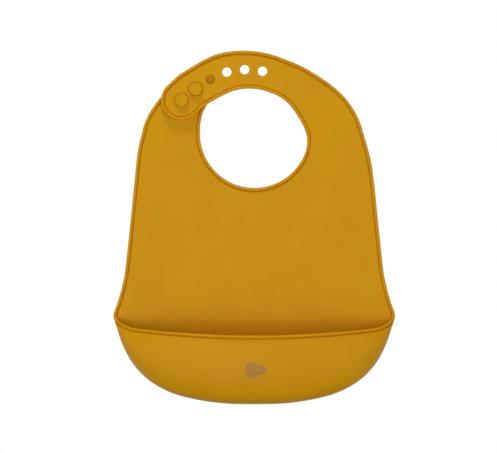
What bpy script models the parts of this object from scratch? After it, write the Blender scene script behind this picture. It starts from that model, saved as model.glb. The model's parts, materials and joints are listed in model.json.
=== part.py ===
"""A silicone baby bib with a crumb pocket, fastened into its neck loop.

The real bib is one flexible moulding with a printed mark. It is divided here at the lines it
bends along: the waist, the pocket's root, the two shoulders, the loop and the closure tab.
Units are metres. X is across the bib, Z is up and the front faces -Y. The origin is the centre
of the neck opening, in the middle of the sheet's thickness.
"""

import math

import bmesh
import bpy
import numpy as np

# Driving dimensions
SHEET = 0.0018  # thickness of the sheet, the straps and the pocket's wall
BEAD_WIDTH = 0.0022  # the raised bead along every free edge
BEAD_HEIGHT = 0.0008
BEAD_SHAPE = ((0, 0.35), (0.25, 1), (0.7, 1), (1, 0))  # shares of the bead's width and height
BEAD_LARGEST_SHARE = 0.45  # of a narrow section's width
GAP = 0.0003  # between neighbouring zones
NECK_RADIUS = 0.0397
SHOULDER_Z = 0.0  # the straps bend back about this line
WAIST_Z = -0.0750  # the apron folds forward about this line

STUD_CENTRES = ((-0.0531, 0.0244), (-0.0428, 0.0325))  # X and Z of the lower and the upper stud
STUD_HEAD_RADIUS = 0.0049
STUD_HEAD_THICKNESS = 0.0019
STUD_STEM_RADIUS = 0.0028
HOLE_RADIUS = 0.0034
SPARE_HOLES = 4  # further along the loop, at the studs' spacing

POCKET_DEPTH = 0.0360  # how far the middle of the pocket's rim stands in front of the sheet
POCKET_ROUNDING = 2.7  # exponent of the superellipse from the pocket's root to its rim
POCKET_PLAN_ROUNDING = 0.6  # exponent of the bow that the rim follows, seen from above
RIM_RADIUS = 0.0013  # the bead on the pocket's rim
RIM_ANGLES = (-35, 10, 55, 90, 125, 170, 215)  # points round the rim bead, in degrees from outwards
ROW_EASE = 1.15  # above 1, the wall's rows crowd towards its root
WALL_END = 0.012  # the wall's first and last sections, as a share of the way from corner to corner
MARK_PLACE = 0.762  # the printed mark's height on the wall, from the root to the rim
MARK_HALF_HEIGHT = 0.088  # as a share of the wall's height
MARK_HALF_SHARE = 0.0427  # as a share of the way from corner to corner
MARK_END = 0.92  # where the leaf's pointed ends are cut off, as a share of its half length
MARK_POINT = 0.8  # exponent of the leaf's outline
MARK_THICKNESS = 0.0002

# Outlines: each row is a point (X, Z) on the right half
SIDE_EDGE = ((0.0797, 0.0), (0.0848, -0.0185), (0.0874, -0.0360), (0.0899, -0.0600), (0.0925, -0.0850),
             (0.0945, -0.1020), (0.0968, -0.1130), (0.0999, -0.1238), (0.1023, -0.1303))
POCKET_CORNER = (0.1027, -0.1330)
BOTTOM_EDGE = (POCKET_CORNER, (0.1004, -0.1410), (0.0960, -0.1539), (0.0880, -0.1684), (0.0762, -0.1802),
               (0.0600, -0.1890), (0.0400, -0.1942), (0.0200, -0.1967), (0.0, -0.1974))
RIM_EDGE = (POCKET_CORNER, (0.0945, -0.1411), (0.0752, -0.1448), (0.0528, -0.1467),
            (0.0230, -0.1482), (0.0, -0.1483))
BEAD_END_Z = -0.1275  # the side beads stop here, where the pocket's own rim takes over
NECK_TUCK = 0.0018  # how far the right edge of the neck opening has turned in at the shoulder
NECK_TUCK_START_Z = -0.0198

# Straps: each row is a section, the inner edge (X, Z), the outer edge (X, Z) and the middle's Y
LEFT_STRAP = ((-0.0397, 0.0, -0.0797, 0.0, 0.0), (-0.0394, 0.0070, -0.0779, 0.0085, 0.0),
              (-0.0376, 0.0150, -0.0741, 0.0177, 0.0), (-0.0349, 0.0205, -0.0684, 0.0262, 0.0),
              (-0.0335, 0.0265, -0.0585, 0.0370, 0.0), (-0.0297, 0.0290, -0.0430, 0.0477, 0.0))
TAB_Y = -0.0029  # the fastened tab lies on the left strap's beads
LOOP_BAND = ((NECK_RADIUS - NECK_TUCK, 0.0, 0.0797, 0.0, 0.0), (0.0363, 0.0046, 0.0767, 0.0095, 0.0),
             (0.0326, 0.0114, 0.0714, 0.0196, 0.0), (0.0280, 0.0182, 0.0640, 0.0294, -0.0002),
             (0.0226, 0.0240, 0.0512, 0.0395, -0.0007), (0.0142, 0.0289, 0.0305, 0.0509, -0.0019),
             (0.0005, 0.0326, 0.0030, 0.0596, -0.0027), (-0.0155, 0.0310, -0.0255, 0.0583, TAB_Y),
             (-0.0350, 0.0209, -0.0513, 0.0451, TAB_Y), (-0.0437, 0.0131, -0.0626, 0.0357, TAB_Y))
LOOP_FOLD = 4.5  # section of LOOP_BAND where the opened loop folds away from the right strap
TAB_FOLD = 7.7  # section where the tab is peeled up
ROUND_END_TURN = 84  # degrees of the half circle that ends a strap; its last sliver is cut off flat
WAIST_FIRST_STEP = 0.35  # the first waist section stays near the side, so that the side bead ends there

MUSTARD = (0.54, 0.27, 0.012)
PRINT_BROWN = (0.45, 0.20, 0.075)


def smooth(rows, parameter):
    """A point on the Catmull-Rom curve through the rows; the whole part of the parameter is the row."""
    rows = np.array(rows, float)
    last = len(rows) - 1
    index = min(max(int(math.floor(parameter)), 0), last - 1)
    f = parameter - index
    before = rows[index - 1] if index > 0 else 2 * rows[0] - rows[1]
    after = rows[index + 2] if index + 2 <= last else 2 * rows[last] - rows[last - 1]
    a, b = rows[index], rows[index + 1]
    return 0.5 * (2 * a + (b - before) * f + (2 * before - 5 * a + 4 * b - after) * f**2
                  + (3 * a - before - 3 * b + after) * f**3)


def along(rows, count):
    """Points evenly spaced by length on the smooth curve through the rows."""
    fine = np.array([smooth(rows, p) for p in np.linspace(0, len(rows) - 1, 400)])
    length = np.concatenate([[0], np.cumsum(np.linalg.norm(np.diff(fine[:, :2], axis=0), axis=1))])
    wanted = np.linspace(0, length[-1], count)
    return np.stack([np.interp(wanted, length, fine[:, k]) for k in range(fine.shape[1])], axis=1)


def edge_at(z):
    """Half the sheet's width at a height between the shoulders and the pocket."""
    curve = np.array([smooth(SIDE_EDGE, p) for p in np.linspace(0, len(SIDE_EDGE) - 1, 200)])
    return float(np.interp(-z, -curve[:, 1], curve[:, 0]))


def ring(inner, outer, y=0.0, bead_inner=1.0, bead_outer=1.0):
    """A closed cross-section of the sheet between two edge points, with a bead in front of each edge."""
    inner, outer = np.array(inner, float), np.array(outer, float)
    width = np.linalg.norm(outer - inner)
    across = (outer - inner) / width
    bead = min(BEAD_WIDTH, BEAD_LARGEST_SHARE * width)
    back, front = y + SHEET / 2, y - SHEET / 2

    def point(distance, depth):
        x, z = inner + across * distance
        return (x, depth, z)

    loop = [point(0, back)]
    for share, rise in BEAD_SHAPE:
        loop.append(point(share * bead, front - rise * bead_inner * BEAD_HEIGHT))
    for share, rise in BEAD_SHAPE[::-1]:
        loop.append(point(width - share * bead, front - rise * bead_outer * BEAD_HEIGHT))
    loop.append(point(width, back))
    return loop


def band_ring(rows, parameter):
    xi, zi, xo, zo, y = smooth(rows, parameter)
    return ring((xi, zi), (xo, zo), y)


def round_end(rows, steps=7):
    """Sections that close a strap with half a circle beyond its last row."""
    xi, zi, xo, zo, y = rows[-1]
    inner, outer = np.array((xi, zi)), np.array((xo, zo))
    centre, half = (inner + outer) / 2, (outer - inner) / 2
    radius = np.linalg.norm(half)
    before = (np.array(rows[-2][:2]) + np.array(rows[-2][2:4])) / 2
    onward = np.array((half[1], -half[0])) / radius
    if onward @ (centre - before) < 0:
        onward = -onward
    found = []
    for k in range(1, steps + 1):
        angle = math.radians(ROUND_END_TURN) * k / steps
        place = centre + onward * radius * math.sin(angle)
        found.append(ring(place - half * math.cos(angle), place + half * math.cos(angle), y))
    return found


def silicone(name, colour=MUSTARD, roughness=0.48):
    material = bpy.data.materials.new(name)
    material.use_nodes = True
    shader = material.node_tree.nodes["Principled BSDF"]
    shader.inputs["Base Color"].default_value = (*colour, 1)
    shader.inputs["Roughness"].default_value = roughness
    shader.inputs["Metallic"].default_value = 0.0
    return material


def place(name, mesh, joint, colour=MUSTARD):
    """Puts a mesh, modelled in the bib's own frame, under the empty on its joint's axis."""
    mesh.shade_smooth()
    mesh.set_sharp_from_angle(angle=math.radians(35))
    mesh.materials.append(silicone(name + "_silicone", colour))
    obj = bpy.data.objects.new(name, mesh)
    bpy.context.scene.collection.objects.link(obj)
    if joint:
        obj.parent = joint
        obj.matrix_parent_inverse = joint.matrix_world.inverted()
    return obj


def sweep(name, rings, joint, colour=MUSTARD):
    """A closed solid through the cross-sections, capped at both ends."""
    form = bmesh.new()
    loops = [[form.verts.new(p) for p in loop] for loop in rings]
    for first, second in zip(loops, loops[1:]):
        for k in range(len(first)):
            n = (k + 1) % len(first)
            form.faces.new((first[k], first[n], second[n], second[k]))
    form.faces.new(loops[0][::-1])
    form.faces.new(loops[-1])
    bmesh.ops.triangulate(form, faces=[f for f in form.faces if len(f.verts) > 4])
    bmesh.ops.recalc_face_normals(form, faces=form.faces)
    if form.calc_volume(signed=True) < 0:
        bmesh.ops.reverse_faces(form, faces=form.faces)
    mesh = bpy.data.meshes.new(name)
    form.to_mesh(mesh)
    form.free()
    return place(name, mesh, joint, colour)


def turned(name, centre, profile, joint, segments=28):
    """A solid of revolution about a line along Y; the profile's points are (radius, Y)."""
    form = bmesh.new()
    loops = []
    for radius, y in profile:
        turns = [2 * math.pi * k / segments for k in range(segments)]
        loops.append([form.verts.new((centre[0] + radius * math.cos(a), y, centre[1] + radius * math.sin(a)))
                      for a in turns])
    for first, second in zip(loops, loops[1:]):
        for k in range(segments):
            n = (k + 1) % segments
            form.faces.new((first[k], first[n], second[n], second[k]))
    form.faces.new(loops[0][::-1])
    form.faces.new(loops[-1])
    bmesh.ops.recalc_face_normals(form, faces=form.faces)
    mesh = bpy.data.meshes.new(name)
    form.to_mesh(mesh)
    form.free()
    return place(name, mesh, joint)


def cut_hole(obj, centre, label):
    """A round hole through a strap, cut by a hidden cylinder."""
    bpy.ops.mesh.primitive_cylinder_add(vertices=24, radius=HOLE_RADIUS, depth=0.02,
                                        location=(centre[0], TAB_Y, centre[1]),
                                        rotation=(math.pi / 2, 0, 0))
    cutter = bpy.context.object
    cutter.name = "cutter_" + label
    cutter.hide_render = True
    cutter.display_type = "WIRE"
    hole = obj.modifiers.new(label, "BOOLEAN")
    hole.operation = "DIFFERENCE"
    hole.object = cutter


def joint_empty(name, point, parent=None):
    empty = bpy.data.objects.new(name, None)
    empty.location = point
    empty.empty_display_size = 0.02
    bpy.context.scene.collection.objects.link(empty)
    bpy.context.view_layer.update()
    if parent:
        empty.parent = parent
        empty.matrix_parent_inverse = parent.matrix_world.inverted()
        bpy.context.view_layer.update()
    return empty


def fold_point(rows, parameter):
    """The middle of a fold across a strap, just in front of the beads so that it opens forward."""
    xi, zi, xo, zo, y = smooth(rows, parameter)
    return ((xi + xo) / 2, y - SHEET / 2 - BEAD_HEIGHT - GAP / 2, (zi + zo) / 2)


def neck_tuck(z):
    """How far the fastened loop pulls the right edge of the neck opening in at a height."""
    return NECK_TUCK * min(max(1 - z / NECK_TUCK_START_Z, 0.0), 1.0) ** 3


def chest_panel():
    """A horseshoe of sections from the neck opening out to the sides and down to the waist."""
    side_steps, waist_steps = 8, 8
    top, bottom = SHOULDER_Z - GAP / 2, WAIST_Z + GAP / 2
    outer = [(edge_at(z), z, 1.0) for z in np.linspace(top, bottom, side_steps + 1)]
    corner_x = outer[-1][0]
    for step in np.linspace(WAIST_FIRST_STEP, waist_steps, waist_steps):
        outer.append((corner_x * (1 - step / waist_steps), bottom, 0.0))
    half = []
    for k, (x, z, bead) in enumerate(outer):
        angle = -math.pi / 2 * k / (len(outer) - 1)
        inner = (NECK_RADIUS * math.cos(angle), min(NECK_RADIUS * math.sin(angle), top))
        half.append((inner, (x, z), bead))
    right = [((x - neck_tuck(z), z), edge, bead) for (x, z), edge, bead in half]
    left = [((-x, z), (-edge[0], edge[1]), bead) for (x, z), edge, bead in half[-2::-1]]
    return [ring(inner, edge, 0.0, 1.0, bead) for inner, edge, bead in right + left]


def lower_panel():
    """Level rows from the waist down behind the pocket; the pocket's own edge replaces the bead there."""
    rows = [(edge_at(z), z, 1.0) for z in np.linspace(WAIST_Z - GAP / 2, BEAD_END_Z, 7)]
    rows += [(*SIDE_EDGE[-1], 0.0)]
    rows += [(x, z, 0.0) for x, z in along(BOTTOM_EDGE, 18)[:-1]]
    return [ring((-x, z), (x, z), 0.0, bead, bead) for x, z, bead in rows]


def pocket_point(share, rise, inset=0.0):
    """A point on the pocket: share runs from its left corner to its right, rise from root to rim.

    An inset moves the point in through the wall's thickness.
    """
    side = 1 if share >= 0.5 else -1
    half = 1 - abs(2 * share - 1)
    root = np.array(pocket_curve(BOTTOM_EDGE, half))
    rim = np.array(pocket_curve(RIM_EDGE, half))
    depth = POCKET_DEPTH * (1 - (rim[0] / POCKET_CORNER[0]) ** 2) ** POCKET_PLAN_ROUNDING
    inward = rim - root
    length = np.linalg.norm(inward)
    inward = inward / length
    power = 2 / POCKET_ROUNDING
    up = 1 - math.cos(rise * math.pi / 2) ** power
    out = math.sin(rise * math.pi / 2) ** power
    x, z = root + inward * (inset + (length - inset) * up)
    y = -SHEET / 2 - GAP - max(depth - inset, 0.0) * out
    return (side * x, y, z)


def pocket_curve(rows, half):
    """A point on a pocket outline; half runs by length from the corner to the middle."""
    points = POCKET_CURVES[rows]
    wanted = half * (len(points) - 1)
    return [float(np.interp(wanted, range(len(points)), points[:, k])) for k in range(2)]


def pocket_ring(share):
    """The wall's cross-section: out from the root, round the rim bead and back down inside."""
    outside = [pocket_point(share, rise) for rise in np.linspace(0, 1, 9) ** ROW_EASE]
    inside = [pocket_point(share, rise, SHEET) for rise in np.linspace(1, 0, 7) ** ROW_EASE]
    outward = np.array(outside[-1]) - np.array(inside[0])
    outward /= np.linalg.norm(outward)
    rim = np.array(inside[0]) + outward * RIM_RADIUS
    upward = np.array(outside[-1]) - np.array(outside[-2])
    upward -= outward * (upward @ outward)
    upward /= np.linalg.norm(upward)
    bead = [tuple(rim + RIM_RADIUS * (outward * math.cos(a) + upward * math.sin(a)))
            for a in np.radians(RIM_ANGLES)]
    return outside[:-1] + bead + inside[1:]


def printed_mark():
    """A leaf-shaped patch of ink that follows the pocket's wall."""
    rings = []
    for across in np.linspace(-MARK_END, MARK_END, 15):
        half = MARK_HALF_HEIGHT * (1 - across**2) ** MARK_POINT
        share = 0.5 + across * MARK_HALF_SHARE
        heights = np.linspace(MARK_PLACE - half, MARK_PLACE + half, 5)
        rings.append([pocket_point(share, rise, -GAP) for rise in heights]
                     + [pocket_point(share, rise, -GAP - MARK_THICKNESS) for rise in heights[::-1]])
    return rings


def stud_profile():
    """Radius and Y of a mushroom stud: a stem that passes the tab, and a head with a softened rim."""
    base = -SHEET / 2 - GAP
    under = TAB_Y - SHEET / 2 - GAP
    top = under - STUD_HEAD_THICKNESS
    return ((STUD_STEM_RADIUS, base), (STUD_STEM_RADIUS, under), (STUD_HEAD_RADIUS - 0.0006, under),
            (STUD_HEAD_RADIUS, under - 0.0006), (STUD_HEAD_RADIUS, top + 0.0007),
            (STUD_HEAD_RADIUS - 0.0008, top))


def strip(rows, start, stop, count):
    return [band_ring(rows, p) for p in np.linspace(start, stop, count)]


def spare_hole_centres():
    """Places along the middle of the loop, spaced as the studs are, past the two fastened holes."""
    rows = [smooth(LOOP_BAND, p) for p in np.linspace(len(LOOP_BAND) - 1, LOOP_FOLD, 300)]
    middle = np.array([((xi + xo) / 2, (zi + zo) / 2) for xi, zi, xo, zo, _ in rows])
    length = np.concatenate([[0], np.cumsum(np.linalg.norm(np.diff(middle, axis=0), axis=1))])
    spacing = math.dist(*STUD_CENTRES)
    wanted = [spacing * (k + len(STUD_CENTRES)) for k in range(SPARE_HOLES)]
    return [tuple(float(np.interp(w, length, middle[:, k])) for k in range(2)) for w in wanted]


def gap_share(rows, parameter):
    """Half a gap, as a share of the way between two sections."""
    a, b = smooth(rows, parameter - 0.1), smooth(rows, parameter + 0.1)
    return 0.2 * GAP / 2 / math.dist((a[:2] + a[2:4]) / 2, (b[:2] + b[2:4]) / 2)


POCKET_CURVES = {rows: along(rows, 60) for rows in (BOTTOM_EDGE, RIM_EDGE)}


def build():
    for obj in list(bpy.data.objects):
        bpy.data.objects.remove(obj)

    forward_y = -SHEET / 2 - BEAD_HEIGHT - GAP / 2
    waist = joint_empty("waist_fold_axis", (0, forward_y, WAIST_Z))
    root_z = BOTTOM_EDGE[-1][1] - GAP
    pocket = joint_empty("pocket_flex_axis", (0, -SHEET / 2, root_z), waist)
    left = joint_empty("left_strap_bend_axis", (0, SHEET / 2 + GAP / 2, SHOULDER_Z))
    right = joint_empty("right_strap_bend_axis", (0, SHEET / 2 + GAP / 2, SHOULDER_Z))
    loop = joint_empty("loop_open_axis", fold_point(LOOP_BAND, LOOP_FOLD), right)
    tab = joint_empty("tab_lift_axis", fold_point(LOOP_BAND, TAB_FOLD), loop)

    sweep("chest_panel", chest_panel(), None)
    sweep("lower_panel", lower_panel(), waist)
    sweep("pocket_wall", [pocket_ring(s) for s in np.linspace(WALL_END, 1 - WALL_END, 41)], pocket)
    sweep("pocket_mark", printed_mark(), pocket, PRINT_BROWN)

    shoulder = gap_share(LEFT_STRAP, 0.1)
    sweep("left_strap", strip(LEFT_STRAP, shoulder, len(LEFT_STRAP) - 1, 12) + round_end(LEFT_STRAP), left)
    for name, centre in zip(("lower_stud", "upper_stud"), STUD_CENTRES):
        turned(name, centre, stud_profile(), left)

    loop_gap, tab_gap = gap_share(LOOP_BAND, LOOP_FOLD), gap_share(LOOP_BAND, TAB_FOLD)
    shoulder = gap_share(LOOP_BAND, 0.1)
    sweep("right_strap", strip(LOOP_BAND, shoulder, LOOP_FOLD - loop_gap, 12), right)
    band = sweep("loop_band", strip(LOOP_BAND, LOOP_FOLD + loop_gap, TAB_FOLD - tab_gap, 12), loop)
    for k, centre in enumerate(spare_hole_centres()):
        cut_hole(band, centre, f"spare_hole_{k + 1}")
    end = sweep("closure_tab", strip(LOOP_BAND, TAB_FOLD + tab_gap, len(LOOP_BAND) - 1, 6)
                + round_end(LOOP_BAND), tab)
    for k, centre in enumerate(STUD_CENTRES):
        cut_hole(end, centre, f"fastened_hole_{k + 1}")


build()
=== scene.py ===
"""Looks of the silicone bib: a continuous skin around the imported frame, its materials, light and camera.

Units are metres. X is across the bib, Z is up and the front faces -Y; the origin is the centre of
the neck opening. The skin is one moulding, cut into pieces only where a piece has to follow
another pair of bodies, and each cut lies where both sides move as one.
"""

import json
import math

import bmesh
import bpy
import numpy as np
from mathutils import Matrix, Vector


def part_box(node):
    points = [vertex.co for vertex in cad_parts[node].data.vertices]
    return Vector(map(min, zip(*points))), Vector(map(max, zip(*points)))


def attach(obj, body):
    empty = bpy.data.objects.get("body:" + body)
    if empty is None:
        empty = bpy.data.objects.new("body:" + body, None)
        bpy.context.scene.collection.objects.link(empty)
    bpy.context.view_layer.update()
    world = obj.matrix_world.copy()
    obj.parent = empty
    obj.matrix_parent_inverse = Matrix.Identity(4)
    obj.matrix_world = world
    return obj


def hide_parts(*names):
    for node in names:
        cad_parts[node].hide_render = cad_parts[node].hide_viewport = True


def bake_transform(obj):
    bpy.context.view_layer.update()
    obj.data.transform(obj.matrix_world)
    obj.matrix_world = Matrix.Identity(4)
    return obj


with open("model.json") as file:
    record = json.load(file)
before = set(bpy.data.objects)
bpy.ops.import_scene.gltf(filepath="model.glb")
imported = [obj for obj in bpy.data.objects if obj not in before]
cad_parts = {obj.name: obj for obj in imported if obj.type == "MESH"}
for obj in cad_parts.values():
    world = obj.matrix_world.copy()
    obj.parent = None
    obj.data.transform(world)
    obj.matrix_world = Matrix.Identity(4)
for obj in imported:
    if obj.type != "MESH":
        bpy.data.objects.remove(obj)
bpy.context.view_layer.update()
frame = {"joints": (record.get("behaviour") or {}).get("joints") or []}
JOINTS = {joint["name"]: joint for joint in frame["joints"]}

# Sizes read from the frame
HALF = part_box("chest_panel")[1].y  # half the sheet's thickness
BEAD_FRONT = -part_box("chest_panel")[0].y  # how far forward the edge bead reaches
SHOULDER_Z = JOINTS["left_strap_bend"]["pos_m"][2]
BOTTOM_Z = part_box("lower_panel")[0].z
RIM_FRONT = -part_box("pocket_wall")[0].y
TAB_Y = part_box("closure_tab")[1].y - HALF  # the middle of the tab, which lies in front of the left strap
STUDS = [(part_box(name)[0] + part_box(name)[1]) / 2 for name in ("lower_stud", "upper_stud")]
STUD_SPACING = (STUDS[1] - STUDS[0]).length
STUD_HEAD_RADIUS = (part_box("lower_stud")[1].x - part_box("lower_stud")[0].x) / 2
STUD_FRONT = -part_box("lower_stud")[0].y
MARK_CENTRE = (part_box("pocket_mark")[0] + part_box("pocket_mark")[1]) / 2
MARK_HALF_WIDTH = (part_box("pocket_mark")[1].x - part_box("pocket_mark")[0].x) / 2

# The edge bead, a flattened round cord along every free edge, and the crease beside it
BEAD_ACROSS = 0.0011  # half its width on the sheet
BEAD_DEEP = (HALF + BEAD_FRONT) / 2  # half its thickness
BEAD_Y = HALF - BEAD_DEEP
BEAD_MEETS = math.asin((HALF + BEAD_Y) / BEAD_DEEP)  # angle on the bead where the sheet's face meets it
BEAD_FIRST_SHARE = 0.25  # the bead's surface starts at this share of that angle, down in the crease
BEAD_STEPS = 17
GROOVE = 0.00100  # depth of the crease
GROOVE_WIDTH = 0.00095
CLOSE_GAPS = (0.00095, 0.0008, 0.00065, 0.0005, 0.00035, 0.0002, 0.0001)  # points across the crease
SHEET_GAPS = (0.0018, 0.0011) + CLOSE_GAPS
RIM_GAPS = (0.0026, 0.0018, 0.0012) + CLOSE_GAPS + (0.0,)
RIM_GAPS_SHARE = 0.6  # where the pocket's wall is low, they take up this much of it
EDGE_ZONE = 0.0052  # width of the strip that is shaped by its distance from the edge
EDGE_STEP = 0.00001  # keeps the last two points of an edge without a bead apart
PARTING_RIDGE = 0.00007  # how far the mould's parting line stands out
BACK_ROUNDING = 0.0006
BACK_STRAIGHT_FROM = 0.2  # share of HALF at which the edge goes straight back, up to its rounding
BACK_FLAT_FROM = 0.0010

SEAM_Z = -0.0120  # the sheet and the straps meet here, on the chest's side of the shoulder fold
PANEL_CENTRE = (0.0, -0.08)
NECK_RADIUS = 0.0397
NECK_TUCK = 0.0018  # how far the right edge of the neck opening has turned in at the shoulder
NECK_TUCK_START_Z = -0.0198

# The slight unevenness of the sheet: depth, then length and phase of the wave across and up
RIPPLE = (0.00030, 0.021, 0.7, 0.027, 1.1)
DRIFT = (0.00035, 0.043, -1.9, 0.052, 0.4)
DRIFT_SLANT = 0.06

# The left shoulder's fuller outer side
SHOULDER_BULGE = 0.0023
SHOULDER_BULGE_FROM = 0.062  # how far from the middle it starts
SHOULDER_BULGE_EASE = 0.014  # the distance in which it grows to its full size
SHOULDER_BULGE_Z = -0.001
SHOULDER_BULGE_HEIGHT = 0.0185

# Outlines on the right half, (X, Z), close to the frame's
OUTLINE = ((0.0797, 0.0), (0.0848, -0.0185), (0.0874, -0.0360), (0.0899, -0.0600), (0.0925, -0.0850),
           (0.0945, -0.1020), (0.0968, -0.1130), (0.0999, -0.1238), (0.1023, -0.1303), (0.1027, -0.1330),
           (0.1020, -0.1362), (0.1004, -0.1410), (0.0960, -0.1539), (0.0880, -0.1684), (0.0762, -0.1802),
           (0.0600, -0.1890), (0.0400, -0.1942), (0.0200, -0.1967), (0.0, BOTTOM_Z))
RIM_EDGE = ((0.1004, -0.1360), (0.0983, -0.1381), (0.0950, -0.1401), (0.0880, -0.1424), (0.0760, -0.1437),
            (0.0528, -0.1456), (0.0230, -0.1471), (0.0, -0.1475))
CORNER_Z = -0.1330  # where the side bead leaves the sheet and becomes the pocket's rim
CORNER_REACH = 0.008  # points are closer together within this distance of the corner
OUTLINE_POINTS = (62, 26, 66)  # above, near and below the corner

# Straps: inner edge (X, Z), outer edge (X, Z), Y of the middle, close to the frame's
LEFT_STRAP = ((-0.0397, 0.0, -0.0797, 0.0, 0.0), (-0.0394, 0.0070, -0.0779, 0.0085, 0.0),
              (-0.0376, 0.0150, -0.0741, 0.0177, 0.0), (-0.0349, 0.0205, -0.0684, 0.0262, 0.0),
              (-0.0335, 0.0265, -0.0585, 0.0370, 0.0), (-0.0297, 0.0290, -0.0430, 0.0477, 0.0))
LOOP_BAND = ((NECK_RADIUS - NECK_TUCK, 0.0, 0.0797, 0.0, 0.0), (0.0363, 0.0046, 0.0766, 0.0094, 0.0),
             (0.0326, 0.0114, 0.0712, 0.0195, 0.0), (0.0280, 0.0182, 0.0634, 0.0291, -0.0002),
             (0.0226, 0.0240, 0.0508, 0.0393, -0.0007), (0.0142, 0.0289, 0.0305, 0.0509, -0.0019),
             (0.0005, 0.0326, 0.0030, 0.0596, -0.0027), (-0.0155, 0.0310, -0.0255, 0.0583, TAB_Y),
             (-0.0350, 0.0209, -0.0513, 0.0451, TAB_Y), (-0.0437, 0.0131, -0.0626, 0.0357, TAB_Y))
RIGHT_END = 3.0  # sections of LOOP_BAND where the skin changes from piece to piece
LOOP_END = 5.35
LOOP_FOLD = 4.5  # sections of LOOP_BAND where the loop and the tab fold
TAB_FOLD = 7.7
LOOP_BEND = (0.007, 0.009)  # how far before and after the fold the bend reaches
TAB_BEND = (0.003, 0.0055)
FOLD_STEP = 0.05  # sections before and after a fold that give its direction
SLOPE_STEP = 0.01  # sections before and after a place that give an edge's direction
SLOPE_HEIGHT = 0.0002  # the same for the shoulders, as a height

# How finely the pieces are divided: points from the middle to an edge zone, and sections along a band
SHEET_COLUMNS = 34
STRAP_COLUMNS = 16
LOOP_COLUMNS = 14
SHOULDER_SECTIONS = 10
LEFT_SECTIONS = 52
RIGHT_SECTIONS = 34
LOOP_SECTIONS = 46
TAB_SECTIONS = 76
TIP_SPOKES = 28
BACK_ROUNDING_STEPS = 7
HOLE_SEGMENTS = 48
STUD_SEGMENTS = 64

# The tab's holes: soft lips, and a dimple round each hole that a stud pulls in
SPARE_HOLES = 4
HOLE_PATH_SAMPLES = 300
HOLE_RADIUS = 0.0034
HOLE_LIP = 0.00035
LIP_ANGLES = (22, 45, 68, 90)
CUTTER_OVER = 0.0012  # how far a hole's cutter stands out of both faces, and widens on the way
CUTTER_CLEAR = 0.00003  # its shaped part starts this far off the face
DIMPLE_MARGIN = 0.0004  # the dimple is this much wider than the stud's head
DIMPLE_FLARE = 0.0004  # how much wider the cutter gets in front of the dimple
DIMPLE_DEPTH = 0.0006
DIMPLE_SIDE = ((0.00015, 0.0002), (0.0004, 0.00045), (0.0008, DIMPLE_DEPTH))  # (inwards, down)
DIMPLE_INNER_EDGE = 0.0003  # depth of the slope between the dimple and the hole

# The pocket
POCKET_ROUNDING = 3.8  # exponent of the superellipse from the pocket's root to its rim
POCKET_BOW = 0.6  # exponent of the bow that the rim follows, seen from above
RIM_LIFT = 0.004  # length over which the rim bead rises off the sheet at each corner
RIM_OPENS = 0.003  # depth at which the bead has its full turn over the rim's inside
RIM_TURN = 0.0015  # length over which the rim turns out of the side bead's direction
LEAD_POINTS = 6  # the rim's curve starts from this many points of the side bead before the corner
LEAD_STEP = 3  # taking every third
RIM_POINTS = 118
RIM_POINTS_EASE = 1.35  # exponent that puts them closer together at the corner
LOW_WALL = 0.006  # the crease under the rim runs out where the wall is lower than this
WALL_SLACK = 1.2  # about how much longer the wall is than the straight line from its root to its rim
CREST_SHARE = 0.8  # how much further down the bead's surface starts on a tall wall, in the crease
CREST_STEPS = 20
OUTSIDE_COLUMNS = 26
INSIDE_COLUMNS = 32
CURVE_SAMPLES = 120
WALL_INSET = 0.0003  # the wall's foot starts this far inside the sheet's edge
WALL_SUNK = 0.0004  # and this deep in the sheet
FILLET = 0.0024  # how much thicker the wall is at its foot
FILLET_SHARE = 0.12  # the share of the wall's length that the fillet takes
FILLET_FULL_DEPTH = 0.01

# The studs: (wider than the stem, Y) from the strap's face and from the head's underside
STUD_STEM = 0.0028
STUD_FOOT = ((0.0011, 0.0003), (0.0009, -0.00002), (0.0004, -0.00012), (0.0001, -0.0004), (0.0, -0.0008))
STUD_NECK = ((0.0, 0.0003), (0.0002, 0.00008), (0.0006, 0.0))
STUD_GAP = 0.00022  # between the tab and the head
STUD_FLAT = 0.0006  # the underside is flat to this distance from the head's edge
STUD_LOWER_EDGE = 0.0004  # roundings of the head
STUD_UPPER_EDGE = 0.0005
STUD_DISH = ((0.84, 0.0), (0.78, 0.00006), (0.70, 0.00022), (0.60, 0.00028), (0.3, 0.00028), (0, 0.00028))
STUD_SHARP_ANGLE = math.radians(60)
SHARP_ANGLE = math.radians(62)  # cut ends are steeper than this, moulded edges are not

# The printed mark, in shares of its half width unless said otherwise
LEAF_PAIRS = 4
LEAF_SPAN = (-0.66, 0.36)  # places of the first and the last pair
LEAF_LEAN, LEAF_LEAN_STEP = 52, 6  # degrees, and how much less for each further pair
LEAF_SIZE, LEAF_SIZE_STEP = 0.80, 0.08
LEAF_WIDTH = 0.42  # share of the leaf's length
LEAF_POINT = 0.8
LEAF_TAPER = 0.25
LEAF_ROWS = 7  # from one edge of a leaf to the other
STALK_LENGTH = 1.5
STALK_WIDTH = 0.00065  # metres
STALK_SIDE = 0.00035  # metres from the stalk's middle to a leaf's foot
END_LEAF = (0.48, 0.55, 0.24)  # place, length and width
MARK_START_Y = -0.06  # the print starts here, in front of the wall, and is then laid on it
INK_LIFT = 0.00004
INK_THICKNESS = 0.00003

# Materials: colour stops (share of the noise, colour)
SILICONE_TONES = ((0.35, (0.785, 0.370, 0.0010)), (0.68, (0.820, 0.388, 0.0015)))
SILICONE_ROUGHNESS = (0.40, 0.50)
INK_TONES = ((0.38, (0.50, 0.245, 0.022)), (0.60, (0.56, 0.235, 0.085)))
FLOOR_GREY = 0.50

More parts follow.
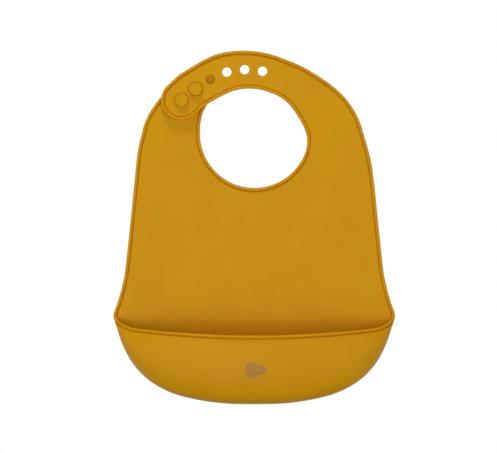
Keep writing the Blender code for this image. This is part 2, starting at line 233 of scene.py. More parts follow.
# The stage
FLOOR_DROP = 1.0  # from the bib's lowest point
FLOOR_RADIUS = 6.5
FLOOR_FADE = (4.0, 6.3)  # distances between which the floor thins out to nothing
FLOOR_GLOW = 0.74
PAINTED_SHADOW_POOL_RADII = (1.45, 1.80)  # the floor is dim inside the first, a painted shadow under the bib, and glows outside the second
# Brightness of the world by height, from 0 straight down to 1 straight up
WORLD = ((0.0, 0.0), (0.20, 0.0), (0.23, 0.84), (0.56, 0.84), (0.58, 0.04), (1.0, 0.04))
BACKDROP_EDGE = (0.95, 0.985)  # how squarely behind the bib the white patch starts and is full
LIT_POINT = (0, 0, -0.08)
# Name, azimuth, elevation, distance, size and power
SOFTBOXES = (("left", -30, -2, 1.6, 0.7, 1.5), ("right", 32, 4, 1.6, 0.7, 2.1),
             ("low", -6, -18, 1.1, 0.16, 1.1), ("top", -30, 70, 1.6, 0.3, 10.5),
             ("back", 205, 18, 1.6, 0.7, 4.5))
VIEW_WIDTH = 0.3628  # width of the photograph's view at the bib
VIEW_CENTRE = (-0.0042, -0.0678)
CAMERA_DISTANCE = 3.0


# ---------------------------------------------------------------- curves

def smooth(rows, parameters):
    """Points on the Catmull-Rom curve through the rows; the whole part of a parameter is the row."""
    rows = np.array(rows, float)
    rows = np.vstack([2 * rows[0] - rows[1], rows, 2 * rows[-1] - rows[-2]])
    parameters = np.atleast_1d(np.array(parameters, float))
    index = np.clip(np.floor(parameters).astype(int), 0, len(rows) - 4)
    f = (parameters - index)[:, None]
    a, b, c, d = rows[index], rows[index + 1], rows[index + 2], rows[index + 3]
    return 0.5 * (2 * b + (c - a) * f + (2 * a - 5 * b + 4 * c - d) * f**2 + (3 * b - a - 3 * c + d) * f**3)


def even_curve(points, steps=24):
    """A centripetal Catmull-Rom curve, which stays smooth where the points are unevenly spaced."""
    points = np.array(points, float)
    points = np.vstack([2 * points[0] - points[1], points, 2 * points[-1] - points[-2]])
    out = []
    for k in range(1, len(points) - 2):
        a, b, c, d = points[k - 1:k + 3]
        spans = [max(np.linalg.norm(q - p), 1e-9) ** 0.5 for p, q in ((a, b), (b, c), (c, d))]
        knots = np.cumsum([0] + spans)
        t = np.linspace(knots[1], knots[2], steps, endpoint=False)[:, None]
        t0, t1, t2, t3 = knots
        ab = (t1 - t) / (t1 - t0) * a + (t - t0) / (t1 - t0) * b
        bc = (t2 - t) / (t2 - t1) * b + (t - t1) / (t2 - t1) * c
        cd = (t3 - t) / (t3 - t2) * c + (t - t2) / (t3 - t2) * d
        abc = (t2 - t) / (t2 - t0) * ab + (t - t0) / (t2 - t0) * bc
        bcd = (t3 - t) / (t3 - t1) * bc + (t - t1) / (t3 - t1) * cd
        out.append((t2 - t) / (t2 - t1) * abc + (t - t1) / (t2 - t1) * bcd)
    return np.vstack(out + [points[-2:-1]])


def lengths(path):
    """The length run up to each point of a path."""
    return np.concatenate([[0], np.cumsum(np.linalg.norm(np.diff(path, axis=0), axis=1))])


def at_length(path, wanted):
    """The points of a path at the wanted lengths."""
    run = lengths(path)
    return np.stack([np.interp(wanted, run, path[:, k]) for k in range(path.shape[1])], axis=1)


def unit(vectors):
    return vectors / np.maximum(np.linalg.norm(vectors, axis=-1, keepdims=True), 1e-12)


def inward(path, towards):
    """Unit directions square to a path in the XZ plane, on the side of the points in towards."""
    tangent = unit(np.gradient(path, axis=0))
    normal = np.stack([-tangent[:, 1], tangent[:, 0]], axis=1)
    side = np.sign(np.sum(normal * (towards - path), axis=1, keepdims=True))
    return normal * side


def sway(x, z):
    """The slight unevenness of a soft sheet, as a shift along Y that all pieces share."""
    depth, width, phase_x, height, phase_z = RIPPLE
    ripple = depth * np.sin(x / width + phase_x) * np.sin(z / height + phase_z)
    depth, width, phase_x, height, phase_z = DRIFT
    drift = depth * np.sin(x / width + phase_x + z / DRIFT_SLANT) * np.cos(z / height + phase_z)
    return ripple + drift


def fullness(x, z):
    """The slight bulge of the left shoulder's outer side, as a shift along X."""
    share = np.clip((-x - SHOULDER_BULGE_FROM) / SHOULDER_BULGE_EASE, 0, 1)
    fade = np.exp(-((z - SHOULDER_BULGE_Z) / SHOULDER_BULGE_HEIGHT) ** 2)
    return -SHOULDER_BULGE * share**2 * (3 - 2 * share) * fade


# ---------------------------------------------------------------- mesh building

def crease(distance):
    """Depth of the crease beside a bead, at a distance from the foot of the bead."""
    return GROOVE * (1 + np.cos(np.pi * np.clip(distance / GROOVE_WIDTH, 0, 1))) / 2


def edge_profile():
    """Rows (distance from the edge, Y with a bead, Y without), from the front face round to the back."""
    foot = 2 * BEAD_ACROSS
    front = [(foot + gap, -HALF + crease(gap), -HALF) for gap in (EDGE_ZONE - foot,) + SHEET_GAPS]
    for angle in np.linspace(BEAD_MEETS * BEAD_FIRST_SHARE, math.pi, BEAD_STEPS):
        reach = BEAD_ACROSS * (1 + math.cos(angle))
        plain = -HALF if reach > EDGE_STEP else -HALF + EDGE_STEP
        front.append((reach, BEAD_Y - BEAD_DEEP * math.sin(angle), plain))
    parting = [(-PARTING_RIDGE, 0.0, 0.0)]
    back = [(0.0, BACK_STRAIGHT_FROM * HALF, BACK_STRAIGHT_FROM * HALF)]
    for angle in np.linspace(0, math.pi / 2, BACK_ROUNDING_STEPS):
        y = HALF - BACK_ROUNDING * (1 - math.sin(angle))
        back.append((BACK_ROUNDING * (1 - math.cos(angle)), y, y))
    back += [(d, HALF, HALF) for d in np.linspace(BACK_FLAT_FROM, EDGE_ZONE, len(front) - len(back))]
    return np.array(front + parting + back)


PROFILE = edge_profile()


def half_section(middle, edge, inwards, y, bead, columns):
    """Half of each cross-section: middle of the front, out to the edge, round it, and back behind."""
    rows = len(edge)
    distance, beaded, plain = PROFILE.T
    bead = np.broadcast_to(np.asarray(bead, float), (rows,))[:, None]
    y = np.broadcast_to(np.asarray(y, float), (rows,))[:, None]
    rim_xz = edge[:, None, :] + inwards[:, None, :] * distance[None, :, None]
    rim_y = y + plain[None, :] + bead * (beaded - plain)[None, :]
    share = np.linspace(0, 1, columns, endpoint=False)
    front_xz = middle[:, None, :] + (rim_xz[:, :1] - middle[:, None, :]) * share[None, :, None]
    back_xz = middle[:, None, :] + (rim_xz[:, -1:] - middle[:, None, :]) * share[None, ::-1, None]
    xz = np.concatenate([front_xz, rim_xz, back_xz], axis=1)
    depth = np.concatenate([np.repeat(y - HALF, columns, 1), rim_y, np.repeat(y + HALF, columns, 1)], axis=1)
    return np.stack([xz[..., 0], depth, xz[..., 1]], axis=-1)


def end_cap(row):
    """Closes a cut end: the front and the back of the cross-section, joined column by column."""
    n = len(row)
    return np.stack([row[:n // 2 + 1], row[::-1][:n // 2 + 1]])


def mesh_of(name, patches, swayed=True):
    """One welded mesh from grids of points, with its faces turned outwards."""
    form = bmesh.new()
    for grid in patches:
        grid = np.array(grid, float)
        if swayed:
            grid[..., 1] += sway(grid[..., 0], grid[..., 2])
            grid[..., 0] += fullness(grid[..., 0], grid[..., 2])
        rows, columns = grid.shape[:2]
        verts = [[form.verts.new(p) for p in line] for line in grid]
        for r in range(rows - 1):
            for c in range(columns - 1):
                form.faces.new((verts[r][c], verts[r][c + 1], verts[r + 1][c + 1], verts[r + 1][c]))
    bmesh.ops.remove_doubles(form, verts=form.verts, dist=2e-7)  # far less than any two points' distance
    bmesh.ops.dissolve_degenerate(form, edges=form.edges, dist=1e-8)
    bmesh.ops.recalc_face_normals(form, faces=form.faces)
    if form.calc_volume(signed=True) < 0:
        bmesh.ops.reverse_faces(form, faces=form.faces)
    mesh = bpy.data.meshes.new(name)
    form.to_mesh(mesh)
    form.free()
    mesh.shade_smooth()
    mesh.set_sharp_from_angle(angle=SHARP_ANGLE)
    obj = bpy.data.objects.new(name, mesh)
    bpy.context.scene.collection.objects.link(obj)
    return obj


def strip_patches(edges, columns, ends=(True, True), outer_bead=1.0):
    """The two halves of a band between two edge paths, with caps on the cut ends."""
    inner, outer, inner_in, outer_in, y = edges
    middle = (inner + inner_in * EDGE_ZONE + outer + outer_in * EDGE_ZONE) / 2
    halves = [half_section(middle, inner, inner_in, y, 1.0, columns),
              half_section(middle, outer, outer_in, y, outer_bead, columns)]
    return halves + [end_cap(half[k]) for half in halves for k, wanted in zip((0, -1), ends) if wanted]


def squared_end(edges):
    """Turns the directions on the last section straight across the band, so that a half circle fits on."""
    inner, outer, inner_in, outer_in, _ = edges
    inner_in[-1] = unit(outer[-1] - inner[-1])
    outer_in[-1] = -inner_in[-1]
    return edges


def rounded_tip(edges, columns):
    """A half-round end whose bead follows the arc, fanned about the middle of the last section."""
    inner, outer = edges[0], edges[1]
    centre = (inner[-1] + outer[-1]) / 2
    radius = np.linalg.norm(outer[-1] - inner[-1]) / 2
    first = math.atan2(*(inner[-1] - centre)[::-1])
    onward = math.atan2(*(centre - (inner[-3] + outer[-3]) / 2)[::-1])
    turn = (onward - first + math.pi) % (2 * math.pi) - math.pi
    angles = first + np.sign(turn) * np.linspace(0, math.pi, TIP_SPOKES)
    spokes = np.stack([np.cos(angles), np.sin(angles)], axis=1)
    hub = np.repeat(centre[None], TIP_SPOKES, axis=0)
    return half_section(hub, centre + radius * spokes, -spokes, edges[4][-1], 1.0, columns)


def round_ended(edges, columns):
    """A band with a cut start and a half-round end."""
    edges = squared_end(edges)
    return strip_patches(edges, columns, (True, False)) + [rounded_tip(edges, columns)]


# ---------------------------------------------------------------- the moulding

def settled(normals, rounds=30):
    """Directions along a path with quick turns eased, so that strips beside a tight corner don't cross."""
    for _ in range(rounds):
        inner = 0.25 * normals[:-2] + 0.5 * normals[1:-1] + 0.25 * normals[2:]
        normals = np.vstack([normals[:1], unit(inner), normals[-1:]])
    return normals


def outline():
    """The sheet's right edge from the seam to the bottom's middle: points, inward directions, corner row."""
    path = even_curve(OUTLINE)
    run = lengths(path)
    start, corner = (float(np.interp(-z, -path[:, 1], run)) for z in (SEAM_Z, CORNER_Z))
    above = np.linspace(start, corner - CORNER_REACH, OUTLINE_POINTS[0], endpoint=False)
    near = np.linspace(corner - CORNER_REACH, corner + CORNER_REACH, OUTLINE_POINTS[1], endpoint=False)
    below = np.linspace(corner + CORNER_REACH, run[-1], OUTLINE_POINTS[2])
    points = at_length(path, np.concatenate([above, near, below]))
    inwards = inward(points, np.array(PANEL_CENTRE))
    inwards[-1] = (0, 1)
    return points, settled(inwards), len(above) + len(near) // 2


def neck_arc(side, angles):
    """The neck opening's edge on one side, with the right shoulder turned in as the closed loop pulls it."""
    x, z = NECK_RADIUS * np.cos(angles), NECK_RADIUS * np.sin(angles)
    tuck = NECK_TUCK * np.clip(1 - z / NECK_TUCK_START_Z, 0, 1) ** 3 * (side > 0)
    return np.stack([side * (x - tuck), z], axis=1)


def sheet():
    """The flat panel, from the neck opening out to the sides and down behind the pocket."""
    outer, outer_in, corner = outline()
    angles = np.linspace(math.asin(SEAM_Z / NECK_RADIUS), -math.pi / 2, len(outer))
    inner = np.vstack([neck_arc(1, angles), neck_arc(-1, angles)[-2::-1]])
    mirror = np.array([-1, 1])
    bead = (np.arange(len(outer)) <= corner).astype(float)
    outer, outer_in = (np.vstack([half, half[-2::-1] * mirror]) for half in (outer, outer_in))
    bead = np.concatenate([bead, bead[-2::-1]])
    inner_in = inward(inner, outer)
    for row, side in ((0, 1), (-1, -1)):
        _, _, seam_inner_in, seam_outer_in, _ = shoulder(side, np.array([SEAM_Z]))
        inner_in[row], outer_in[row] = seam_inner_in[0], seam_outer_in[0]
    edges = (inner, outer, inner_in, outer_in, 0.0)
    return mesh_of("bib_sheet", strip_patches(edges, SHEET_COLUMNS, outer_bead=bead))


def with_directions(edges_at, places, step):
    """Sections at the given places: both edges, the directions into the band, and the middle's Y."""
    inner, outer, y = edges_at(places)
    before, after = edges_at(places - step), edges_at(places + step)
    turned = []
    for k, (edge, other) in enumerate(((inner, outer), (outer, inner))):
        tangent = unit(after[k] - before[k])
        normal = np.stack([-tangent[:, 1], tangent[:, 0]], axis=1)
        turned.append(normal * np.sign(np.sum(normal * (other - edge), axis=1, keepdims=True)))
    return [inner, outer, turned[0], turned[1], y]


def shoulder(side, heights):
    """Sections between the seam and the shoulder line; side is -1 on the left."""
    edge = even_curve(OUTLINE)
    edge = np.vstack([2 * edge[:1] - edge[1:2], edge])

    def edges_at(z):
        outer = np.stack([side * np.interp(-z, -edge[:, 1], edge[:, 0]), z], axis=1)
        return neck_arc(side, np.arcsin(z / NECK_RADIUS)), outer, np.zeros(len(z))

    return with_directions(edges_at, heights, SLOPE_HEIGHT)


def band(rows, start, end, count):
    """Sections of a strap between two parameters of its rows."""
    def edges_at(parameters):
        found = smooth(rows, parameters)
        return found[:, 0:2], found[:, 2:4], found[:, 4]

    return with_directions(edges_at, np.linspace(start, end, count), SLOPE_STEP)


def from_seam(side, strap):
    """A strap's sections, with those between the seam and the shoulder line put before them."""
    heights = np.linspace(SEAM_Z, SHOULDER_Z, SHOULDER_SECTIONS, endpoint=False)
    return [np.concatenate(pair) for pair in zip(shoulder(side, heights), strap)]


def left_strap():
    """The short strap, with its round end under the tab."""
    edges = from_seam(-1, band(LEFT_STRAP, 0, len(LEFT_STRAP) - 1, LEFT_SECTIONS))
    return mesh_of("left_strap_skin", round_ended(edges, STRAP_COLUMNS))


def right_strap():
    """The lower part of the long strap."""
    edges = from_seam(1, band(LOOP_BAND, 0, RIGHT_END, RIGHT_SECTIONS))
    return mesh_of("right_strap_skin", strip_patches(edges, STRAP_COLUMNS))


def loop_top():
    """The top of the neck loop, which folds."""
    edges = band(LOOP_BAND, RIGHT_END, LOOP_END, LOOP_SECTIONS)
    return mesh_of("loop_skin", strip_patches(edges, LOOP_COLUMNS))


def hole_centres():
    """The two buttoned holes and the spare ones, evenly spaced along the middle of the loop."""
    rows = smooth(LOOP_BAND, np.linspace(len(LOOP_BAND) - 1, LOOP_FOLD, HOLE_PATH_SAMPLES))
    middle = (rows[:, 0:2] + rows[:, 2:4]) / 2
    spares = at_length(middle, STUD_SPACING * (2 + np.arange(SPARE_HOLES)))
    return [(stud.x, stud.z) for stud in STUDS] + [tuple(p) for p in spares]


def hole_cutter(x, z, dimpled):
    """A round pin that widens at both faces of the tab: soft lips, and a dimple where a stud pulls it in."""
    reach = HALF + CUTTER_OVER
    face = -HALF - CUTTER_CLEAR
    lip = HOLE_RADIUS + HOLE_LIP
    side = [(lip + CUTTER_OVER, -reach), (lip, face)]
    for angle in np.radians(LIP_ANGLES):
        side.append((lip - HOLE_LIP * math.sin(angle), face + HOLE_LIP * (1 - math.cos(angle))))
    front = side
    if dimpled:
        wide = STUD_HEAD_RADIUS + DIMPLE_MARGIN
        front = [(wide + DIMPLE_FLARE, -reach), (wide, face)]
        front += [(wide - inwards, down - HALF) for inwards, down in DIMPLE_SIDE]
        front += [(lip, DIMPLE_DEPTH - HALF), (HOLE_RADIUS, DIMPLE_DEPTH + DIMPLE_INNER_EDGE - HALF)]
    profile = [(0, -reach)] + front + [(r, -d) for r, d in side[::-1]] + [(0, reach)]
    turned = lathe_patches(x, z, profile, TAB_Y + sway(x, z), HOLE_SEGMENTS)
    return mesh_of("hole_cutter", turned, swayed=False)


def lathe_patches(x, z, profile, y, segments):
    """A turned form about a line along Y through (x, z); the profile's points are (radius, Y)."""
    angles = np.linspace(0, 2 * math.pi, segments + 1)
    rings = [[(x + r * math.cos(a), y + d, z + r * math.sin(a)) for r, d in profile] for a in angles]
    return [np.array(rings)]


def closure_tab():
    """The loop's end with its holes: spare ones along the band and the two that hold the studs."""
    edges = band(LOOP_BAND, LOOP_END, len(LOOP_BAND) - 1, TAB_SECTIONS)
    tab = mesh_of("closure_tab_skin", round_ended(edges, STRAP_COLUMNS))
    cutters = [hole_cutter(x, z, k < len(STUDS)) for k, (x, z) in enumerate(hole_centres())]
    for cutter in cutters:
        hole = tab.modifiers.new(cutter.name, "BOOLEAN")
        hole.operation = "DIFFERENCE"
        hole.object = cutter
    bake_modifiers(tab)
    for cutter in cutters:
        bpy.data.objects.remove(cutter)
    tab.data.set_sharp_from_angle(angle=SHARP_ANGLE)
    return tab


def bake_modifiers(obj):
    """Keeps the modifiers' result as the object's own mesh."""
    graph = bpy.context.evaluated_depsgraph_get()
    result = bpy.data.meshes.new_from_object(obj.evaluated_get(graph))
    obj.modifiers.clear()
    obj.data = result


def rim_path():
    """The wall's root, its rim bead's middle and its depth, from the right corner to the pocket's middle."""
    outer, inwards, corner = outline()
    root = outer[corner:]
    side_bead = outer + inwards * BEAD_ACROSS
    lead = side_bead[corner - LEAD_POINTS:corner + 1:LEAD_STEP]
    flat = even_curve(np.vstack([lead, RIM_EDGE]))
    flat = flat[np.argmin(np.linalg.norm(flat - side_bead[corner], axis=1)):]
    run = lengths(flat)
    wanted = run[-1] * np.linspace(0, 1, RIM_POINTS) ** RIM_POINTS_EASE
    flat = at_length(flat, wanted)
    across = 1 - wanted / run[-1]
    full = RIM_FRONT - BEAD_DEEP - abs(BEAD_Y)
    depth = full * (1 - across**2) ** POCKET_BOW * (1 - np.exp(-wanted / RIM_LIFT))
    path = np.stack([flat[:, 0], BEAD_Y - depth, flat[:, 1]], axis=1)
    return at_length(root, lengths(root)[-1] * wanted / run[-1]), path, depth


def rim_directions(root, rim):
    """Unit vectors at each point of the rim: up the wall, out of it, and up across the bead."""
    up = unit(np.stack([rim[:, 0] - root[:, 0], np.zeros(len(root)), rim[:, 2] - root[:, 1]], axis=1))
    along = unit(np.gradient(rim, axis=0))
    side = np.array([up[0, 2], 0.0, -up[0, 0]])
    side *= np.sign(side @ along[0])
    ease = np.exp(-lengths(rim) / RIM_TURN)[:, None]
    along = unit(along * (1 - ease) + side * ease)
    along[-1] = (-1, 0, 0)
    out = unit(-np.cross(along, up))
    top = unit(np.cross(out, along))
    return up, out, top * np.sign(np.sum(top * up, axis=1, keepdims=True))


def wall_curve(foot, top, stations):
    """Superellipses from the foot to the rim, with points at the given shares of their length."""
    turn = np.linspace(0, math.pi / 2, CURVE_SAMPLES)
    power = 2 / POCKET_ROUNDING
    up, out = 1 - np.cos(turn) ** power, np.sin(turn) ** power
    rows = []
    for low, high, wanted in zip(foot, top, stations):
        step = high - low
        curve = low + np.stack([step[0] * up, step[1] * out, step[2] * up], axis=1)
        rows.append(at_length(curve, lengths(curve)[-1] * wanted))
    return np.array(rows)


def wall_outside(start, top, height, full, out):
    """The wall's outer face from its root to the rim bead, with the crease under the bead."""
    gaps = np.array(RIM_GAPS)
    fine = np.minimum(gaps / height, RIM_GAPS_SHARE * gaps / gaps[0])
    even = np.linspace(0, 1, OUTSIDE_COLUMNS, endpoint=False)[None, :] * (1 - fine[:, :1])
    face = wall_curve(start, top, np.concatenate([even, 1 - fine], axis=1))
    dip = crease(fine * height) * full
    face[:, OUTSIDE_COLUMNS:-1] -= dip[:, :-1, None] * out[:, None, :]
    return face


def wall_inside(start, top, up, depth):
    """The wall's inner face, one sheet's thickness in from the edge, with a fillet at its foot."""
    shares = np.linspace(0, 1, INSIDE_COLUMNS)
    face = wall_curve(start + up * (2 * HALF + WALL_INSET), top, np.tile(shares, (len(start), 1)))
    grown = np.clip(depth / FILLET_FULL_DEPTH, 0, 1)[:, None]
    fillet = FILLET * grown * np.clip(1 - shares / FILLET_SHARE, 0, 1) ** 2
    return face + up[:, None, :] * fillet[:, :, None]


def pocket():
    """The pocket's wall between the sheet's edge and the rim, which carries on the side bead."""
    root, rim, depth = rim_path()
    up, out, over = rim_directions(root, rim)

    def on_bead(angle):
        return rim + BEAD_ACROSS * np.cos(angle) * over + BEAD_DEEP * np.sin(angle) * out

    start = np.stack([root[:, 0], np.full(len(root), -HALF), root[:, 1]], axis=1)
    top = on_bead(math.pi - BEAD_MEETS)
    height = WALL_SLACK * np.linalg.norm(top - start, axis=1)[:, None] + 1e-6
    full = np.clip(height / LOW_WALL, 0, 1)
    crest_start = math.pi - BEAD_MEETS * (1 - CREST_SHARE * full)
    crest_end = BEAD_MEETS + (-math.pi / 2 - BEAD_MEETS) * np.clip(depth / RIM_OPENS, 0, 1)[:, None]
    shares = np.linspace(0, 1, CREST_STEPS, endpoint=False)
    crest = np.stack([on_bead(crest_start + (crest_end - crest_start) * s) for s in shares], axis=1)
    outside = wall_outside(start, top, height, full, out)
    inside = wall_inside(start, on_bead(crest_end), up, depth)
    down = np.array([0, WALL_SUNK, 0])
    sunk = (start + up * WALL_INSET + down)[:, None]
    parts = [sunk, outside[:, :-1], crest, inside[:, ::-1], inside[:, :1] + down, sunk]
    section = np.concatenate(parts, axis=1)
    section = np.concatenate([section, section[-2::-1] * np.array([-1, 1, 1])])
    return mesh_of("pocket_skin", [section, end_fan(section[0]), end_fan(section[-1])])


def end_fan(row):
    """Closes a short end with a fan about its middle."""
    centre = row.mean(axis=0)
    return np.stack([row, np.repeat(centre[None], len(row), axis=0)])


def stud(name, place):
    """A mushroom stud: a foot that swells out of the strap, a stem, and a head with soft edges."""
    top = -STUD_FRONT
    under = TAB_Y - HALF - STUD_GAP
    r = STUD_HEAD_RADIUS
    profile = [(0, STUD_FOOT[0][1] - HALF)]
    profile += [(STUD_STEM + wider, y - HALF) for wider, y in STUD_FOOT]
    profile += [(STUD_STEM + wider, under + y) for wider, y in STUD_NECK]
    profile.append((r - STUD_FLAT, under))
    soft = STUD_LOWER_EDGE
    for angle in np.radians(np.linspace(-90, 0, 6)[1:]):
        profile.append((r - soft * (1 - math.cos(angle)), under - soft * (1 + math.sin(angle))))
    soft = STUD_UPPER_EDGE
    for angle in np.radians(np.linspace(0, 80, 8)):
        profile.append((r - soft * (1 - math.cos(angle)), top + soft * (1 - math.sin(angle))))
    profile += [(r * share, top + down) for share, down in STUD_DISH]
    turned = lathe_patches(place.x, place.z, profile, sway(place.x, place.z), STUD_SEGMENTS)
    obj = mesh_of(name, turned, swayed=False)
    obj.data.set_sharp_from_angle(angle=STUD_SHARP_ANGLE)
    return obj


# ---------------------------------------------------------------- the printed mark

def leaf(centre, angle, length, width, steps=18):
    """The upper and the lower edge of one leaf in the XZ plane."""
    t = np.linspace(0, 1, steps)
    bulge = width / 2 * np.sin(np.pi * t) ** LEAF_POINT * (1 - LEAF_TAPER * t)
    top, low = np.stack([t * length, bulge], 1), np.stack([t * length, -bulge], 1)
    turn = np.array([[math.cos(angle), math.sin(angle)], [-math.sin(angle), math.cos(angle)]])
    return np.stack([top, low]) @ turn + np.array(centre)


def sprig():
    """The mark's leaves: pairs that get smaller along a stalk, one at its end, and the stalk itself."""
    half = MARK_HALF_WIDTH
    x, z = MARK_CENTRE.x, MARK_CENTRE.z
    leaves = []
    for k, along in enumerate(np.linspace(*LEAF_SPAN, LEAF_PAIRS) * half):
        lean = math.radians(LEAF_LEAN - LEAF_LEAN_STEP * k)
        size = half * (LEAF_SIZE - LEAF_SIZE_STEP * k)
        for side in (1, -1):
            leaves.append(leaf((x + along, z + side * STALK_SIDE), side * lean, size, size * LEAF_WIDTH))
    place, length, width = END_LEAF
    leaves.append(leaf((x + half * place, z), 0, half * length, half * width))
    leaves.append(leaf((x - half, z), 0, half * STALK_LENGTH, STALK_WIDTH))
    return leaves


def printed_mark(target):
    """A plain sprig of leaves, laid on the pocket's wall as a film of ink."""
    patches = []
    for top, low in sprig():
        share = np.linspace(0, 1, LEAF_ROWS)[:, None, None]
        flat = top + (low - top) * share
        patches.append(np.stack([flat[..., 0], np.full(flat.shape[:2], MARK_START_Y), flat[..., 1]], axis=-1))
    mark = mesh_of("pocket_print", patches, swayed=False)
    wrap = mark.modifiers.new("onto_wall", "SHRINKWRAP")
    wrap.target = target
    wrap.wrap_method = "PROJECT"
    wrap.use_project_x = wrap.use_project_z = False
    wrap.use_project_y = wrap.use_positive_direction = wrap.use_negative_direction = True
    wrap.offset = INK_LIFT
    film = mark.modifiers.new("film", "SOLIDIFY")
    film.thickness = INK_THICKNESS
    film.offset = 1
    bake_modifiers(mark)
    return mark


# ---------------------------------------------------------------- materials

def node(tree, kind, **values):
    """A new shader node, with values for its inputs or its settings."""
    made = tree.nodes.new("ShaderNode" + kind)
    for key, value in values.items():
        if key in made.inputs:
            made.inputs[key].default_value = value
        else:
            setattr(made, key, value)
    return made


def blank(name):
    """A new material, its node tree and its shader."""
    material = bpy.data.materials.new(name)
    material.use_nodes = True
    return material, material.node_tree, material.node_tree.nodes["Principled BSDF"]


def noise(tree, place, **values):
    """Noise over the object's own coordinates."""
    made = node(tree, "TexNoise", **values)
    tree.links.new(place.outputs["Object"], made.inputs["Vector"])
    return made.outputs["Fac"]


def two_tone(tree, value, tones):
    """A colour that runs between two tones as the value grows."""
    ramp = node(tree, "ValToRGB")
    for stop, (position, colour) in zip(ramp.color_ramp.elements, tones):
        stop.position = position
        stop.color = (*colour, 1)
    tree.links.new(value, ramp.inputs["Fac"])
    return ramp.outputs["Color"]


def silicone():
    """Satin moulded silicone: an even pigment with faint mottling, and a fine blasted grain."""
    material, tree, shader = blank("mustard_silicone")
    shader.inputs["Specular IOR Level"].default_value = 0.12
    place = node(tree, "TexCoord")
    cloud = noise(tree, place, Scale=34.0, Detail=3.0, Roughness=0.55)
    speck = noise(tree, place, Scale=900.0, Detail=2.0)
    grain = noise(tree, place, Scale=2600.0, Detail=4.0, Roughness=0.6)
    fleck = node(tree, "MixRGB", blend_type="MULTIPLY", Fac=0.05)
    tree.links.new(two_tone(tree, cloud, SILICONE_TONES), fleck.inputs["Color1"])
    tree.links.new(speck, fleck.inputs["Color2"])
    tree.links.new(fleck.outputs["Color"], shader.inputs["Base Color"])
    gloss = node(tree, "MapRange", **dict(zip(("To Min", "To Max"), SILICONE_ROUGHNESS)))
    tree.links.new(cloud, gloss.inputs["Value"])
    tree.links.new(gloss.outputs["Result"], shader.inputs["Roughness"])
    bump = node(tree, "Bump", Strength=0.22, Distance=0.00012)
    tree.links.new(grain, bump.inputs["Height"])
    tree.links.new(bump.outputs["Normal"], shader.inputs["Normal"])
    return material


def ink():
    """Rose-brown pad print, a little worn so that the silicone shows through."""
    material, tree, shader = blank("rose_brown_print")
    shader.inputs["Roughness"].default_value = 0.6
    worn = noise(tree, node(tree, "TexCoord"), Scale=700.0, Detail=4.0, Roughness=0.7)
    tree.links.new(two_tone(tree, worn, INK_TONES), shader.inputs["Base Color"])
    return material


def pale_floor():
    """The floor's material: it glows evenly around a dim pool under the bib, a painted shadow, and thins out
    at its rim.
    """
    material, tree, shader = blank("pale_floor")
    shader.inputs["Base Color"].default_value = (FLOOR_GREY, FLOOR_GREY, FLOOR_GREY, 1)
    shader.inputs["Roughness"].default_value = 0.9
    shader.inputs["Emission Color"].default_value = (1, 1, 1, 1)
    place = node(tree, "TexCoord")
    radius = node(tree, "VectorMath", operation="LENGTH")
    tree.links.new(place.outputs["Object"], radius.inputs[0])
    fade = node(tree, "MapRange", **{
        "From Min": FLOOR_FADE[0], "From Max": FLOOR_FADE[1], "To Min": 1.0, "To Max": 0.0})
    tree.links.new(radius.outputs["Value"], fade.inputs["Value"])
    tree.links.new(fade.outputs["Result"], shader.inputs["Alpha"])
    # The floor glows outside the pool; the dim pool under the bib is a painted shadow.
    glow = node(tree, "MapRange", interpolation_type="SMOOTHSTEP", **{
        "From Min": PAINTED_SHADOW_POOL_RADII[0], "From Max": PAINTED_SHADOW_POOL_RADII[1], "To Min": 0.0, "To Max": FLOOR_GLOW})
    tree.links.new(radius.outputs["Value"], glow.inputs["Value"])
    tree.links.new(glow.outputs["Result"], shader.inputs["Emission Strength"])
    return material


# ---------------------------------------------------------------- stage

def floor():
    """A pale round floor well below the bib."""
    form = bmesh.new()
    bmesh.ops.create_circle(form, cap_ends=True, radius=FLOOR_RADIUS, segments=96)
    mesh = bpy.data.meshes.new("floor")
    form.to_mesh(mesh)
    form.free()
    disc = bpy.data.objects.new("floor", mesh)
    disc.location = (0, 0, BOTTOM_Z - FLOOR_DROP)
    mesh.materials.append(pale_floor())
    bpy.context.scene.collection.objects.link(disc)


def studio():
    """The world: a white band around the horizon and a white patch behind the bib, dark above and below."""
    world = bpy.data.worlds.new("studio")
    bpy.context.scene.world = world
    world.use_nodes = True
    tree = world.node_tree
    sky = tree.nodes["Background"]
    place = node(tree, "TexCoord")
    split = node(tree, "SeparateXYZ")
    tree.links.new(place.outputs["Generated"], split.inputs["Vector"])
    shade = node(tree, "ValToRGB")
    shade.color_ramp.elements.remove(shade.color_ramp.elements[1])
    for position, level in WORLD:
        stop = shade.color_ramp.elements.new(position)
        stop.color = (level, level, level, 1)
    shade.color_ramp.elements.remove(shade.color_ramp.elements[0])
    height = node(tree, "MapRange", **{"From Min": -1.0, "From Max": 1.0})
    tree.links.new(split.outputs["Z"], height.inputs["Value"])
    tree.links.new(height.outputs["Result"], shade.inputs["Fac"])
    behind = node(tree, "MapRange", interpolation_type="SMOOTHSTEP", **{
        "From Min": BACKDROP_EDGE[0], "From Max": BACKDROP_EDGE[1]})
    tree.links.new(split.outputs["Y"], behind.inputs["Value"])
    lit = node(tree, "MixRGB", Color2=(1, 1, 1, 1))
    tree.links.new(behind.outputs["Result"], lit.inputs["Fac"])
    tree.links.new(shade.outputs["Color"], lit.inputs["Color1"])
    tree.links.new(lit.outputs["Color"], sky.inputs["Color"])
    sky.inputs["Strength"].default_value = 1.0


def softbox(name, azimuth, elevation, distance, size, power):
    """A round soft light aimed at the bib; azimuth 0 is straight in front and grows to the right."""
    turn, rise = math.radians(azimuth), math.radians(elevation)
    offset = Vector((math.sin(turn) * math.cos(rise), -math.cos(turn) * math.cos(rise), math.sin(rise)))
    light = bpy.data.lights.new(name, "AREA")
    light.shape = "DISK"
    light.size = size
    light.energy = power
    lamp = bpy.data.objects.new(name, light)
    lamp.location = Vector(LIT_POINT) + offset * distance
    lamp.rotation_euler = (-offset).to_track_quat("-Z", "Y").to_euler()
    bpy.context.scene.collection.objects.link(lamp)


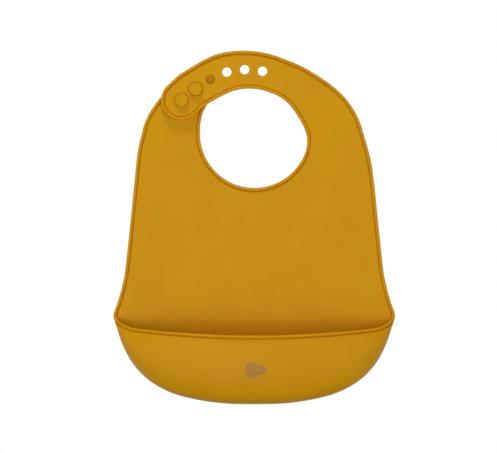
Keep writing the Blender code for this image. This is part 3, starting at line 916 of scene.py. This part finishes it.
def stage():
    """The floor, the world and the soft lights."""
    floor()
    studio()
    for settings in SOFTBOXES:
        softbox(*settings)


def camera():
    """Level, straight at the front, from far away, as the photograph's view."""
    data = bpy.data.cameras.new("camera")
    data.sensor_width = 36.0
    data.lens = data.sensor_width * CAMERA_DISTANCE / VIEW_WIDTH
    data.clip_end = 50.0
    eye = bpy.data.objects.new("camera", data)
    eye.location = (VIEW_CENTRE[0], -CAMERA_DISTANCE, VIEW_CENTRE[1])
    eye.rotation_euler = (math.pi / 2, 0, 0)
    bpy.context.scene.collection.objects.link(eye)
    bpy.context.scene.camera = eye
    bpy.context.scene.view_settings.view_transform = "Standard"


# ---------------------------------------------------------------- the object

def fold_ends(joint, fold, before, after):
    """Where a piece starts and stops bending, along the loop's middle on each side of a fold."""
    near = smooth(LOOP_BAND, [fold - FOLD_STEP, fold + FOLD_STEP])
    middle = (near[:, 0:2] + near[:, 2:4]) / 2
    x, z = unit(middle[1] - middle[0])
    onward = Vector((x, 0, z))
    place = Vector(JOINTS[joint]["pos_m"])
    return place - onward * before, place + onward * after


def build():
    """Makes every piece, hides the frame's parts that it replaces, attaches the print and the studs to the
    bodies they follow, and gives each piece its material.
    """
    rubber, print_ink = silicone(), ink()
    skin = sheet()
    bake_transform(skin)
    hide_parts("chest_panel", "lower_panel")

    left = left_strap()
    right = right_strap()
    for strap, body, replaced in ((left, "left_strap", "left_strap"), (right, "right_strap", "right_strap")):
        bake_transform(strap)
        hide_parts(replaced)

    loop = loop_top()
    start, end = fold_ends("loop_open", LOOP_FOLD, *LOOP_BEND)
    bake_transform(loop)
    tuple(start)
    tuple(end)
    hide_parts("loop_band")

    tab = closure_tab()
    start, end = fold_ends("tab_lift", TAB_FOLD, *TAB_BEND)
    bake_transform(tab)
    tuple(start)
    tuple(end)
    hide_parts("closure_tab")

    wall = pocket()
    mark = printed_mark(wall)
    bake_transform(wall)
    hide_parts("pocket_wall")
    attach(mark, "pocket")
    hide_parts("pocket_mark")

    studs = []
    for name, place in zip(("lower_stud", "upper_stud"), STUDS):
        button = stud(name + "_skin", place)
        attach(button, "left_strap")
        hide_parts(name)
        studs.append(button)

    for piece in [skin, left, right, loop, tab, wall] + studs:
        piece.data.materials.clear()
        piece.data.materials.append(rubber)
    mark.data.materials.append(print_ink)


camera()
stage()
build()
